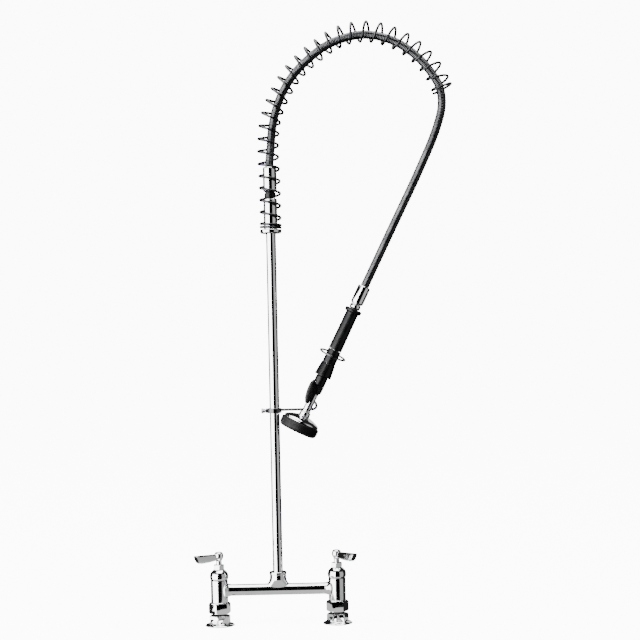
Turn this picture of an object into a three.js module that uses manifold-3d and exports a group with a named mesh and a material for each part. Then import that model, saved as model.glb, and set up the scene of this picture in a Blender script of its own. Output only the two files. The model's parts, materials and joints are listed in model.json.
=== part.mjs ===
// Deck-mounted pre-rinse faucet: an 8 inch bridge mixing base, a riser with a finger hook, and a hose that
// runs through an overhead spring down to a squeeze valve. Millimetres, +Z up. The origin is on the deck,
// midway between the two pillars, below the riser. +X is the side that the spring arches to, -Y the user's.
import * as THREE from 'three';
import { mergeVertices } from 'three/addons/utils/BufferGeometryUtils.js';
import Module from 'manifold-3d';

const wasm = await Module();
wasm.setup();

// ---- driving dimensions ----
const GAP = 0.3; // between faces that touch
const ROUND = 16; // sides of a visible round piece
const SMALL_ROUND = 10; // sides of a small or hidden round piece

const PILLAR_X = 101.6; // 8 inch centres
const NUT_BOTTOM_Z = 21.5;
const NUT_TOP_Z = 39;
const PILLAR_TOP_Z = 79;
const PILLAR_R = 14.8;
const BRIDGE_Z = 60.5;
const BRIDGE_R = 9.9;
const COLLAR_R = 14;
const COLLAR_TOP_Z = 91;
const BONNET_TOP_Z = 96.5;
const HUB_BOTTOM_Z = 105;
const HUB_TOP_Z = 126.3;
const HUB_R = 8.1;
const LEVER_LENGTH = 49;
const SIDES = [
  { name: 'hot', x: -PILLAR_X, lever_deg: 180 + 37, nut_deg: 15 },
  { name: 'cold', x: PILLAR_X, lever_deg: -50, nut_deg: 0 },
];

const RISER_R = 8.55; // 3/8 inch pipe
const RISER_BORE_R = 6.2;
const SEAT_BOTTOM_Z = 674;
const SEAT_TOP_Z = 681;
const SLEEVE_R = 11.8;
const HOOK_Z = 369;

const SPRING_R = 17.2; // from the spring's axis to the middle of its wire
const WIRE_R = 2.1;
const SPRING_END = [301.3, 917.2];
const HOSE_R = 7.6;
const HOSE_TOP_Z = 789;
const HOSE_LEAVES_SPRING = [297, 918];

const HANDLE_TOP = [159.8, 579.4]; // X and Z of the handle's upper end
const HANDLE_LEAN = THREE.MathUtils.degToRad(26.3);
const FERRULE_END = 34;
const GRIP_START = 43;
const GRIP_END = 121;
const RING_AT = 127;
const COLLAR_START = 147;
const COLLAR_END = 171;
const PIN_AT = 184.5;
const PIN_X = -8.2;
const PLUNGER_AT = 199;
const WEB_END = 218;
const CHEEK_INNER = 7.7; // from the handle's axis to a cheek of the squeeze lever
const CHEEK_OUTER = 9.3;
const BODY_END = 206.5;
const NECK_R = 7.1;
const BELL_START = 235;
const BUMPER_START = 259;
const BUMPER_END = 276;
const BUMPER_R = 34.2;

// ---- materials ----
const metal = (color, roughness) => new THREE.MeshStandardMaterial({ color, roughness, metalness: 1 });
const plain = (color, roughness) => new THREE.MeshStandardMaterial({ color, roughness, metalness: 0 });
const chrome = metal(0xd8dade, 0.08);
const brass = metal(0xb08d4a, 0.35);
const steel = metal(0x9a9ca0, 0.3);
const black_plastic = plain(0x101012, 0.35);
const black_rubber = plain(0x0b0b0c, 0.7);
const ceramic = plain(0xe8e6df, 0.25);
const seal_rubber = plain(0x1c1c1e, 0.8);

const faucet = new THREE.Group();

// ---- solids ----
function closed(geometry) {
  const bare = geometry.index ? geometry.toNonIndexed() : geometry.clone();
  bare.deleteAttribute('normal');
  bare.deleteAttribute('uv');
  const merged = mergeVertices(bare, 1e-4);
  const p = merged.attributes.position;
  const index = merged.index.array;
  const tri = [];
  let volume = 0;
  const a = new THREE.Vector3();
  const b = new THREE.Vector3();
  const c = new THREE.Vector3();
  for (let k = 0; k < index.length; k += 3) {
    const [i, j, l] = [index[k], index[k + 1], index[k + 2]];
    if (i === j || j === l || i === l) continue;
    tri.push(i, j, l);
    a.fromBufferAttribute(p, i);
    b.fromBufferAttribute(p, j);
    c.fromBufferAttribute(p, l);
    volume += a.dot(b.cross(c));
  }
  if (volume < 0) tri.reverse();
  merged.setIndex(tri);
  return merged;
}

function solid(geometry) {
  const g = closed(geometry);
  return new wasm.Manifold(new wasm.Mesh({
    numProp: 3,
    vertProperties: new Float32Array(g.attributes.position.array),
    triVerts: new Uint32Array(g.index.array),
  }));
}

function geometryOf(manifold) {
  const mesh = manifold.getMesh();
  const g = new THREE.BufferGeometry();
  g.setAttribute('position', new THREE.BufferAttribute(new Float32Array(mesh.vertProperties), 3));
  g.setIndex(new THREE.BufferAttribute(new Uint32Array(mesh.triVerts), 1));
  return g;
}

const join = (first, ...others) => geometryOf(others.reduce((s, g) => s.add(solid(g)), solid(first)));
const cut = (first, ...others) => geometryOf(others.reduce((s, g) => s.subtract(solid(g)), solid(first)));
const common = (first, ...others) => geometryOf(others.reduce((s, g) => s.intersect(solid(g)),
    solid(first)));

function add(parent, name, geometry, material) {
  const mesh = new THREE.Mesh(closed(geometry), material);
  mesh.name = name;
  parent.add(mesh);
  return mesh;
}

// A solid of revolution about Z from [radius, z] points, starting and ending on the axis.
function turned(points, sides = ROUND) {
  const profile = points.map(([r, z]) => new THREE.Vector2(r, z));
  return new THREE.LatheGeometry(profile, sides).rotateX(Math.PI / 2);
}

// A tube or ring about Z: outer [radius, z] points going up, then inner ones going down.
function ring(points, sides = ROUND) {
  return turned([...points, points[0]], sides);
}

const rod = (radius, z0, z1, sides = ROUND) => turned([[0, z0], [radius, z0], [radius, z1], [0, z1]],
    sides);

const pipe = (inner, outer, z0, z1, sides = ROUND) =>
  ring([[outer, z0], [outer, z1], [inner, z1], [inner, z0]], sides);

// A rod along X.
const crossRod = (radius, x0, x1, sides = ROUND) => rod(radius, x0, x1, sides).rotateY(Math.PI / 2);

// A prism of an [x, z] outline, centred on y = 0.
function sideways(points, depth) {
  const shape = new THREE.Shape(points.map(([x, z]) => new THREE.Vector2(x, z)));
  const g = new THREE.ExtrudeGeometry(shape, { depth, bevelEnabled: false });
  return g.translate(0, 0, -depth / 2).rotateX(Math.PI / 2);
}

// A prism of an [x, y] outline between two heights.
function upward(points, z0, z1) {
  const shape = new THREE.Shape(points.map(([x, y]) => new THREE.Vector2(x, y)));
  return new THREE.ExtrudeGeometry(shape, { depth: z1 - z0, bevelEnabled: false }).translate(0, 0, z0);
}

const box = (x0, x1, y0, y1, z0, z1) =>
  new THREE.BoxGeometry(x1 - x0, y1 - y0, z1 - z0).translate((x0 + x1) / 2, (y0 + y1) / 2, (z0 + z1) / 2);

// A hexagonal prism with its top and bottom corners turned off.
function hexagon(acrossFlats, z0, z1, chamfer) {
  const corner = acrossFlats / Math.sqrt(3);
  const outline = [0, 1, 2, 3, 4, 5].map((k) => {
    const angle = (k * Math.PI) / 3;
    return [corner * Math.cos(angle), corner * Math.sin(angle)];
  });
  const rise = (corner - acrossFlats / 2) * 0.8;
  const dome = turned([
    [0, z0], [corner - chamfer, z0], [corner + 0.01, z0 + rise], [corner + 0.01, z1 - rise],
    [corner - chamfer, z1], [0, z1],
  ], 18);
  return common(upward(outline, z0, z1), dome);
}

// A round wire or hose along a curve.
function along(curve, radius, steps, sides) {
  const section = new THREE.Shape();
  for (let k = 0; k < sides; k += 1) {
    const angle = (2 * Math.PI * (k + 0.5)) / sides;
    const [x, y] = [radius * Math.cos(angle), radius * Math.sin(angle)];
    if (k === 0) section.moveTo(x, y);
    else section.lineTo(x, y);
  }
  section.closePath();
  return new THREE.ExtrudeGeometry(section, { steps, bevelEnabled: false, extrudePath: curve });
}

// ---- base: pillars, bridge and tee in one casting ----
function bridgeCasting() {
  const filletReach = 19;
  const tee = common(
    turned([
      [0, BRIDGE_Z], [filletReach, BRIDGE_Z], [filletReach, BRIDGE_Z + BRIDGE_R], [16, BRIDGE_Z + 12],
      [14.3, BRIDGE_Z + 15.5], [COLLAR_R, BRIDGE_Z + 20], [COLLAR_R, COLLAR_TOP_Z - 4.2],
      [COLLAR_R + 0.8, COLLAR_TOP_Z - 3.6], [COLLAR_R + 0.8, COLLAR_TOP_Z - 0.8],
      [COLLAR_R, COLLAR_TOP_Z], [0, COLLAR_TOP_Z],
    ], ROUND),
    sideways([[-15, 120], [-15, 76], [-13, 70], [-BRIDGE_R, 62], [-9.6, 58], [9.6, 58], [BRIDGE_R, 62],
        [13, 70], [15, 76], [15, 120]], 60).rotateZ(Math.PI / 2),
  );
  let body = solid(crossRod(BRIDGE_R, -PILLAR_X, PILLAR_X)).translate([0, 0, BRIDGE_Z]).add(solid(tee));
  let bores = solid(crossRod(6, -PILLAR_X, PILLAR_X, SMALL_ROUND)).translate([0, 0, BRIDGE_Z]);
  bores = bores.add(solid(pipeBore()));
  for (const { x } of SIDES) {
    const inward = -Math.sign(x);
    const flare = turned([
      [0, 0], [BRIDGE_R + 4.6, 0], [BRIDGE_R + 1.6, 3], [BRIDGE_R + 0.5, 6], [BRIDGE_R - 0.2, 9], [0, 9],
    ]).rotateY(inward * Math.PI / 2).translate(x + inward * 11.5, 0, BRIDGE_Z);
    const pillar = turned([
      [0, 30.5], [14, 30.5], [14, NUT_TOP_Z + GAP], [PILLAR_R - 1, NUT_TOP_Z + GAP],
      [PILLAR_R, NUT_TOP_Z + 2], [PILLAR_R, PILLAR_TOP_Z - 2], [PILLAR_R - 1, PILLAR_TOP_Z],
      [0, PILLAR_TOP_Z],
    ]).translate(x, 0, 0);
    const bore = turned([
      [0, 29], [8, 29], [8, 52], [11.6, 52], [11.6, 72.5], [13.3, 72.5], [13.3, 85], [0, 85],
    ]).translate(x, 0, 0);
    body = body.add(solid(flare)).add(solid(pillar));
    bores = bores.add(solid(bore));
  }
  return geometryOf(body.subtract(bores));
}

// The tee's upright way: a socket for the riser's thread over a narrower bore.
function pipeBore() {
  return turned([[0, BRIDGE_Z], [6, BRIDGE_Z], [6, 76], [RISER_R + GAP, 76], [RISER_R + GAP, 95], [0, 95]],
      ROUND);
}

// ---- one inlet: flange, union nut and washer ----
function inlet({ name, x, nut_deg }) {
  const group = new THREE.Group();
  group.position.x = x;
  faucet.add(group);
  const dome = turned([[0, 0], [25.4, 0], [25.4, 1], [23.5, 2.6], [17, 4.8], [0, 4.8]], 24);
  const tail = turned([[0, 4], [16, 4], [12.2, 17], [12.2, 24], [13.8, 24], [13.8, 28], [0, 28]]);
  const flange = join(dome, hexagon(33, 4, 17, 1.2), tail);
  add(group, `${name}_deck_flange`, cut(flange, rod(9.3, -1, 17), rod(8, 16, 30)), chrome)
    .rotation.z = THREE.MathUtils.degToRad(nut_deg + 8);
  const nut = cut(hexagon(33.5, NUT_BOTTOM_Z, NUT_TOP_Z, 1.4), rod(12.5, 20, 23.7), rod(14.3, 23.6, 42));
  add(group, `${name}_coupling_nut`, nut, chrome).rotation.z = THREE.MathUtils.degToRad(nut_deg);
  add(group, `${name}_inlet_washer`, pipe(8.4, 13.6, 28.3, 30.2, SMALL_ROUND), seal_rubber);
}

// ---- one valve: cartridge, bonnet and lever ----
function valve({ name, x, lever_deg }) {
  const fixed = new THREE.Group();
  fixed.position.x = x;
  const turning = new THREE.Group();
  turning.position.x = x;
  turning.rotation.z = THREE.MathUtils.degToRad(lever_deg);
  faucet.add(fixed, turning);

  add(fixed, `${name}_seat_seal`, pipe(6.5, 10.8, 52.3, 54.3, SMALL_ROUND), seal_rubber);
  const port = box(-1.6, 1.6, 2.2, 5.4, 50, 70);
  const otherPort = box(-1.6, 1.6, -5.4, -2.2, 50, 70);
  add(fixed, `${name}_lower_disc`, cut(rod(8.6, 54.6, 57.4, SMALL_ROUND), port, otherPort), ceramic);
  const openings = box(-20, 20, -3.4, 3.4, 61, 68);
  const sleeve = ring([[11.2, 57.7], [11.2, 72], [9.8, 72.4], [9.8, 92], [4.4, 92], [4.4, 89], [7.6, 89],
      [7.6, 64], [9.2, 63.6], [9.2, 57.7]], ROUND);
  add(fixed, `${name}_cartridge_sleeve`, cut(sleeve, openings), brass);
  add(turning, `${name}_upper_disc`, cut(rod(8.6, 57.7, 60.3, SMALL_ROUND), port), ceramic);
  const tang = box(-1.8, 1.8, -5.5, 5.5, 60.6, 66);
  const stem = turned([[0, 64], [6.6, 64], [6.6, 68], [4, 70], [4, 121], [0, 121]], SMALL_ROUND);
  add(turning, `${name}_spindle`, join(stem, tang), brass);

  const bonnet = ring([[13, 73], [13, PILLAR_TOP_Z + GAP], [15.2, PILLAR_TOP_Z + GAP], [16, 83.5],
      [16, 86.5], [15, 90.5], [12.4, 94], [8.8, BONNET_TOP_Z], [4.6, BONNET_TOP_Z], [4.6, 92.4],
      [10.2, 92.4], [10.2, 73]]);
  add(fixed, `${name}_bonnet`, bonnet, chrome);
  const gland = cut(hexagon(17.4, BONNET_TOP_Z + GAP, 104.5, 0.9), rod(4.5, 90, 110, SMALL_ROUND));
  add(fixed, `${name}_packing_nut`, gland, chrome);
  leverPieces(name, turning);
}

function leverPieces(name, turning) {
  const hub = turned([
    [0, HUB_BOTTOM_Z], [5.1, HUB_BOTTOM_Z], [4.9, 111], [5.6, 113.2], [7.3, 115.4], [HUB_R, 118.2],
    [HUB_R, 121.4], [7.3, 124.2], [5.4, HUB_TOP_Z], [0, HUB_TOP_Z],
  ]);
  const blade = common(
    sideways([
      [2, 112.7], [14, 111.1], [34.5, 109.9], [41.5, 110.7], [LEVER_LENGTH - 3.5, 114],
      [LEVER_LENGTH, 124.5], [2, 123.1],
    ], 30),
    upward([
      [0, -4], [12, -4.2], [28, -5], [LEVER_LENGTH + 1, -5.6], [LEVER_LENGTH + 1, 5.6], [28, 5],
      [12, 4.2], [0, 4],
    ], 100, 130),
  );
  const socket = rod(4.3, 100, 121.3, SMALL_ROUND);
  const recess = rod(4.2, 123.4, 130, SMALL_ROUND);
  const screwHole = rod(1.9, 120, 124, SMALL_ROUND);
  add(turning, `${name}_lever`, cut(join(hub, blade), socket, recess, screwHole), chrome);
  const screw = turned([[0, 121.3], [1.6, 121.3], [1.6, 123.7], [3.2, 123.7], [3.2, 124.6], [0, 124.6]],
      SMALL_ROUND);
  add(turning, `${name}_lever_screw`, screw, steel);
  const cap = turned([[0, 124.9], [3.9, 124.9], [3.9, 126.3], [2.6, 126.9], [0, 127.1]], SMALL_ROUND);
  add(turning, `${name}_index_button`, cap, chrome);
}

// ---- riser, finger hook and the pieces at the riser's head ----
function riser() {
  add(faucet, 'riser_tube', pipe(RISER_BORE_R, RISER_R, 76 + GAP, 700), chrome);
  const inner = RISER_R + GAP;
  add(faucet, 'spring_seat', ring([[16.6, SEAT_BOTTOM_Z], [18.6, SEAT_BOTTOM_Z + 1.4], [18.6, SEAT_TOP_Z],
      [inner, SEAT_TOP_Z], [inner, SEAT_BOTTOM_Z]]), chrome);
  add(faucet, 'riser_coupling', ring([[SLEEVE_R, SEAT_TOP_Z + GAP], [SLEEVE_R, 733], [SLEEVE_R - 1, 734],
      [9.9, 734], [9.9, 701], [inner, 701], [inner, SEAT_TOP_Z + GAP]]), chrome);
  add(faucet, 'hose_washer', pipe(5.4, 9.4, 701.3, 703.3, SMALL_ROUND), seal_rubber);
  add(faucet, 'hose_stem', ring([[9.6, 703.6], [9.6, 728], [8.6, 731], [8.6, 736], [9.8, 736], [9.8, 744],
      [8.6, 744], [8.6, 746], [5, 746], [5, 703.6]]), chrome);
  add(faucet, 'hose_ferrule_top', ring([[10.8, 746 + GAP], [SLEEVE_R, 748], [SLEEVE_R, 787],
      [10.9, HOSE_TOP_Z - GAP], [5, HOSE_TOP_Z - GAP], [5, 746 + GAP]]), chrome);
}

function fingerHook() {
  const armR = 2.2;
  const armY = 14.5;
  const arm = new THREE.CatmullRomCurve3([
    new THREE.Vector3(6, 10.2, HOOK_Z),
    new THREE.Vector3(30, armY, HOOK_Z),
    new THREE.Vector3(54, armY, HOOK_Z),
    new THREE.Vector3(63, 15, HOOK_Z - 0.4),
    new THREE.Vector3(69, 16, HOOK_Z + 0.6),
    new THREE.Vector3(72, 18, HOOK_Z + 4),
    new THREE.Vector3(71.4, 20, HOOK_Z + 9),
    new THREE.Vector3(66, 21.5, HOOK_Z + 15.3),
  ], false, 'centripetal');
  const tip = new THREE.SphereGeometry(armR + 0.4, 8, 6).translate(66, 21.5, HOOK_Z + 15.3);
  const clamp = pipe(RISER_R - 1, 12.2, HOOK_Z - 4.6, HOOK_Z + 3.9);
  const boss = crossRod(4, -15.4, -9, SMALL_ROUND).translate(0, 0, HOOK_Z - 0.4);
  const whole = join(clamp, boss, along(arm, armR, 24, 8), tip);
  const openings = [
    rod(RISER_R + GAP, HOOK_Z - 20, HOOK_Z + 20),
    crossRod(2.3, -20, -6, SMALL_ROUND).translate(0, 0, HOOK_Z - 0.4),
  ];
  add(faucet, 'finger_hook', cut(whole, ...openings), chrome);
  const screw = turned([[0, RISER_R + GAP + 0.1], [2, RISER_R + GAP + 0.1], [2, 15.8], [3.2, 15.8],
      [4.6, 21.5], [3.6, 23], [0, 23]], SMALL_ROUND).rotateY(-Math.PI / 2).translate(0, 0, HOOK_Z - 0.4);
  add(faucet, 'hook_thumb_screw', screw, steel);
}

// ---- overhead spring: a left-handed helix around a bent centreline ----
const flat = ([x, z]) => new THREE.Vector3(x, 0, z);
const springLine = new THREE.CatmullRomCurve3([
  [0, SEAT_TOP_Z + GAP + WIRE_R], [-0.2, 760], [-1.8, 820], [1.7, 862.4], [11.8, 895.8], [43, 949.2],
  [89.3, 990.3], [127.5, 1012.4], [172, 1019.4], [216.5, 1008.3], [256.8, 983], [286.6, 948.4], SPRING_END,
].map(flat), false, 'centripetal');
springLine.arcLengthDivisions = 600;

class Helix extends THREE.Curve {
  constructor() {
    super();
    const closePitch = 2 * WIRE_R + 0.6;
    this.length = springLine.getLength();
    // How far along its line the spring is after so many turns: close at both ends, widest past the crown.
    this.knots = [
      [0, 0], [1.5, 1.5 * closePitch], [20.5, 405], [29, this.length - closePitch], [30, this.length],
    ];
    this.turns = 30;
    this.arcLengthDivisions = this.turns * 40;
  }

  distance(turn) {
    const end = Math.max(this.knots.findIndex(([at]) => at >= turn), 1);
    const [turnA, farA] = this.knots[end - 1];
    const [turnB, farB] = this.knots[end];
    return THREE.MathUtils.mapLinear(turn, turnA, turnB, farA, farB);
  }

  getPoint(t, target = new THREE.Vector3()) {
    const turn = t * this.turns;
    const u = Math.min(this.distance(turn) / this.length, 1);
    const middle = springLine.getPointAt(u);
    const ahead = springLine.getTangentAt(u);
    const inward = new THREE.Vector3(ahead.z, 0, -ahead.x);
    const angle = 2 * Math.PI * turn;
    target.copy(middle).addScaledVector(inward, SPRING_R * Math.cos(angle));
    target.y -= SPRING_R * Math.sin(angle);
    return target;
  }
}

// ---- hose: through the spring, then down to the handle ----
const upTheHandle = (t) => [HANDLE_TOP[0] + t * Math.sin(HANDLE_LEAN),
    HANDLE_TOP[1] + t * Math.cos(HANDLE_LEAN)];
const hosePath = new THREE.CatmullRomCurve3([
  [0, HOSE_TOP_Z], [0, 797], [2.4, 818], [5.9, 855], [17.4, 899.4], [39.5, 940.6], [69.6, 972.7],
  [104.8, 997.8], [144, 1011.3], [178, 1013.3], [221.3, 1000.6], [260.2, 972.8], [287.9, 937.6],
  HOSE_LEAVES_SPRING, [299.5, 890], [289, 849], [257, 776], [214, 689],
  upTheHandle(40), upTheHandle(14), upTheHandle(0),
].map(flat), false, 'centripetal');
hosePath.arcLengthDivisions = 600;

// The part of the hose between two shares of its length.
class Stretch extends THREE.Curve {
  constructor(from, to) {
    super();
    this.from = from;
    this.to = to;
  }

  getPoint(t, target = new THREE.Vector3()) {
    return target.copy(hosePath.getPointAt(THREE.MathUtils.lerp(this.from, this.to, t)));
  }
}

// The share of the hose's length at which it leaves the spring.
function leavingShare() {
  let best = 0;
  let nearest = Infinity;
  for (let k = 0; k <= 1000; k += 1) {
    const apart = hosePath.getPointAt(k / 1000).distanceTo(flat(HOSE_LEAVES_SPRING));
    if (apart < nearest) {
      nearest = apart;
      best = k / 1000;
    }
  }
  return best;
}

function hose() {
  const split = leavingShare();
  const gap = GAP / hosePath.getLength();
  add(faucet, 'hose_in_spring', along(new Stretch(0, split - gap), HOSE_R, 20, 8), steel);
  add(faucet, 'hose_drop', along(new Stretch(split, 1 - gap), HOSE_R, 14, 8), steel);
}

// ---- handle: its own axes have z = -t, with t measured down the handle, and -x towards the riser ----
const handle = new THREE.Group();
handle.position.copy(flat(HANDLE_TOP));
handle.rotation.y = HANDLE_LEAN;
faucet.add(handle);

// [radius, t] points become [radius, z] ones.
const down = (points) => points.map(([r, t]) => [r, -t]);
const turnedDown = (points, sides) => turned(down(points), sides);
const ringDown = (points, sides) => ring(down(points), sides);

function grip() {
  add(handle, 'hose_ferrule_handle', ringDown([[10, GAP], [11, 1.6], [11, 31], [8.6, 33.4],
      [8.6, FERRULE_END], [6.6, FERRULE_END], [6.6, 39], [7.4, 39], [7.4, 41], [3.6, 41],
      [3.6, GAP]]), chrome);
  add(handle, 'swivel_nut', ringDown([[8.2, FERRULE_END + GAP], [9.5, 36], [9.5, 41],
      [8.6, GRIP_START - GAP], [7.7, GRIP_START - GAP], [7.7, 38.6], [6.9, 38.6],
      [6.9, FERRULE_END + GAP]]), chrome);
  add(handle, 'swivel_washer', ringDown([[7.3, 41.3], [7.3, 43], [3.8, 43], [3.8, 41.3]], SMALL_ROUND),
      seal_rubber);
  add(handle, 'handle_tube', ringDown([[7.4, 43.3], [7.4, 160], [4.6, 160], [4.6, 43.3]], SMALL_ROUND),
      chrome);
  add(handle, 'grip', ringDown([[13, GRIP_START], [14.75, 44.2], [14.75, 48.2], [13, 50], [11.1, 50],
      [11.8, GRIP_END], [7.7, GRIP_END], [7.7, GRIP_START]]), black_plastic);
}

function lowerHandle() {
  const sleeve = ringDown([[11.2, GRIP_END + GAP], [11.6, 123], [11.6, COLLAR_START - GAP],
      [7.7, COLLAR_START - GAP], [7.7, GRIP_END + GAP]]);
  const eye = box(-3.2, 3.2, 9, 25.6, -RING_AT - 4, -RING_AT + 4);
  const eyeHole = box(-10, 10, 20.1, 24.9, -RING_AT - 2.4, -RING_AT + 2.4);
  const lugged = cut(join(sleeve, eye), eyeHole, rod(7.7, -COLLAR_START, -GRIP_END));
  add(handle, 'ring_sleeve', lugged, black_plastic);
  add(handle, 'hand_guard', ringDown([[12.5, COLLAR_START], [14.9, COLLAR_END - 1], [14.6, COLLAR_END],
      [7.7, COLLAR_END], [7.7, COLLAR_START]]), black_plastic);
  const holdRing = new THREE.TorusGeometry(22.5, 1.75, 6, 24).rotateX(THREE.MathUtils.degToRad(8));
  add(handle, 'hold_ring', holdRing.translate(0, 0.2, -RING_AT - 3.1), chrome);
}

function valveBody() {
  const round = turnedDown([[0, 160.3], [7.4, 160.3], [7.4, COLLAR_END + GAP], [10.5, COLLAR_END + GAP],
      [10.5, 200.5], [7.4, 203.5], [7.4, BODY_END], [0, BODY_END]]);
  const pocket = box(-20, -6.5, -20, 20, -BODY_END + 3, -181);
  const flatY = CHEEK_INNER - GAP;
  const flats = [box(-20, 20, flatY, 20, -BODY_END, -186.5), box(-20, 20, -20, -flatY, -BODY_END, -186.5)];
  const lug = box(PIN_X - 2.2, -6, -3, 3, -188, -181);
  const pinHole = rod(1.4, -10, 10, SMALL_ROUND).rotateX(Math.PI / 2).translate(PIN_X, 0, -PIN_AT);
  const level = (g) => g.translate(0, 0, -PLUNGER_AT);
  const openings = [
    rod(4, -187, -150, SMALL_ROUND),
    rod(2.3, -PLUNGER_AT, -186, 12).translate(2.5, 0, 0),
    level(crossRod(5, -0.5, 5.8, SMALL_ROUND)),
    level(crossRod(3.2, -8, 0, SMALL_ROUND)),
    rod(1.7, -BODY_END - 2, -PLUNGER_AT, 12).translate(-3, 0, 0),
    pinHole,
  ];
  const cored = solid(cut(round, pocket, ...flats)).add(solid(lug));
  const done = openings.reduce((s, g) => s.subtract(solid(g)), cored);
  add(handle, 'valve_body', geometryOf(done), black_plastic);
}

function valvePieces() {
  const cross = (points) => turned(points, 12).rotateY(Math.PI / 2).translate(0, 0, -PLUNGER_AT);
  add(handle, 'plunger', cross([[0, -10.3], [2.4, -10.3], [2.4, -9.1], [1.4, -9.1], [1.4, 1.5],
      [4.2, 1.5], [4.2, 2.6], [1.4, 2.6], [1.4, 3.4], [0, 3.4]]), steel);
  add(handle, 'seat_washer', cross([[1.7, -0.2], [4.2, -0.2], [4.2, 1.2], [1.7, 1.2], [1.7, -0.2]]),
      seal_rubber);
  add(handle, 'plunger_gland', cross([[1.7, -7.7], [3.9, -7.7], [3.9, -6.8], [2.9, -6.8], [2.9, -5],
      [1.7, -5], [1.7, -7.7]]), brass);
  add(handle, 'plunger_spring', cross([[2.2, 2.9], [3.4, 2.9], [3.4, 5.5], [2.2, 5.5], [2.2, 2.9]]), steel);
  add(handle, 'lever_pin', rod(1.1, -5.6, 5.6, 12).rotateX(Math.PI / 2).translate(PIN_X, 0, -PIN_AT),
      steel);
}

// A channel that straddles the valve body from the riser side and turns on a pin at its upper end.
function squeezeLever() {
  const downZ = (points) => points.map(([x, t]) => [x, -t]);
  const outline = downZ([[-10.2, 181.8], [-12.6, 184.4], [-14.4, 188], [-15, 193], [-15, 199],
      [-14.4, 206], [-13.2, 213], [-11.8, 219], [-9.6, 223.6], [-7.4, 225], [-3.6, 224.4], [-2, 219],
      [1, 212], [2.6, 206.5], [2, 201.5], [-1, 195], [-4.5, 190], [-7.2, 186.8], [-7.2, 181.8]]);
  const hollow = downZ([[-8.2, 178], [-8.2, 181.8], [-10.6, 184.9], [-12.4, 188.3], [-13, 193],
      [-13, 199], [-12.4, 206], [-11.3, 212.5], [-10.6, WEB_END], [-20, WEB_END], [-20, 230], [10, 230],
      [10, 178]]);
  const ear = (y0, y1) => solid(box(PIN_X - 3.6, PIN_X + 1.4, y0, y1, -187.4, -182));
  const pad = crossRod(2.8, -13.6, -10.6, SMALL_ROUND).translate(0, 0, -PLUNGER_AT);
  const pinHole = rod(1.4, -10, 10, SMALL_ROUND).rotateX(Math.PI / 2).translate(PIN_X, 0, -PIN_AT);
  const channel = solid(sideways(outline, 2 * CHEEK_OUTER)).subtract(solid(sideways(hollow,
      2 * CHEEK_INNER)));
  const eared = channel.add(solid(pad)).add(ear(3.4, 5.6)).add(ear(-5.6, -3.4));
  const fork = box(-30, -5, -3.3, 3.3, -188.4, -180);
  add(handle, 'squeeze_lever', geometryOf(eared.subtract(solid(fork)).subtract(solid(pinHole))),
      black_plastic);
}

function sprayHead() {
  add(handle, 'spray_neck', ringDown([[NECK_R, BODY_END + GAP], [NECK_R, BELL_START - GAP],
      [4.4, BELL_START - GAP], [4.4, BODY_END + GAP]]), chrome);
  add(handle, 'spray_bell', ringDown([[7.4, BELL_START], [7.4, 238.6], [9.1, 239.3], [9.4, 241],
      [9.3, 245.4], [10.6, 246.6], [14, 247.7], [20, 249.6], [26, 252], [30.4, 254.4], [31.6, 256],
      [31.6, 258.4], [28.6, 259.2], [28.6, 268], [26.4, 268], [26.4, 258.8], [24, 255.6], [18.6, 252.6],
      [13, 250.6], [8, 248.6], [4.4, 246], [4.4, BELL_START]], 20), chrome);
  add(handle, 'bumper', ringDown([[31.4, BUMPER_START], [33.2, 259.4], [BUMPER_R, 261], [BUMPER_R, 268.5],
      [33.2, 272.4], [30.4, 275.4], [26.4, BUMPER_END], [24.4, BUMPER_END], [24.4, 273.6], [26.6, 273.6],
      [26.6, 268.6], [28.9, 268.6], [28.9, BUMPER_START + 0.7]], 24), black_rubber);
  const holeR = 1.1;
  const holes = [];
  for (const [count, radius] of [[6, 11], [10, 20]]) {
    for (let k = 0; k < count; k += 1) {
      const angle = (2 * Math.PI * k) / count;
      holes.push(rod(holeR, -280, -260, 5).translate(radius * Math.cos(angle), radius * Math.sin(angle),
          0));
    }
  }
  const disc = turnedDown([[0, 270.6], [26.2, 270.6], [26.2, 273], [0, 273]], ROUND);
  add(handle, 'spray_face', cut(disc, ...holes, rod(2.1, -280, -260, 12)), steel);
  const screw = turnedDown([[0, 262], [1.8, 262], [1.8, 273.3], [3.6, 273.3], [3, 275], [0, 275]], 12);
  add(handle, 'face_screw', screw, steel);
}

// ---- assembly ----
add(faucet, 'bridge_casting', bridgeCasting(), chrome);
SIDES.forEach(inlet);
SIDES.forEach(valve);
riser();
fingerHook();
const springTurns = new Helix();
add(faucet, 'overhead_spring', along(springTurns, WIRE_R, springTurns.turns * 9, 4), steel);
hose();
grip();
lowerHandle();
valveBody();
valvePieces();
squeezeLever();
sprayHead();

export default faucet;
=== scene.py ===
"""Looks of the pre-rinse faucet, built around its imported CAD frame. Metres, +Z up."""
import json
import math

import bpy
import bmesh
import numpy as np
from mathutils import Matrix, Vector


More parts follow.
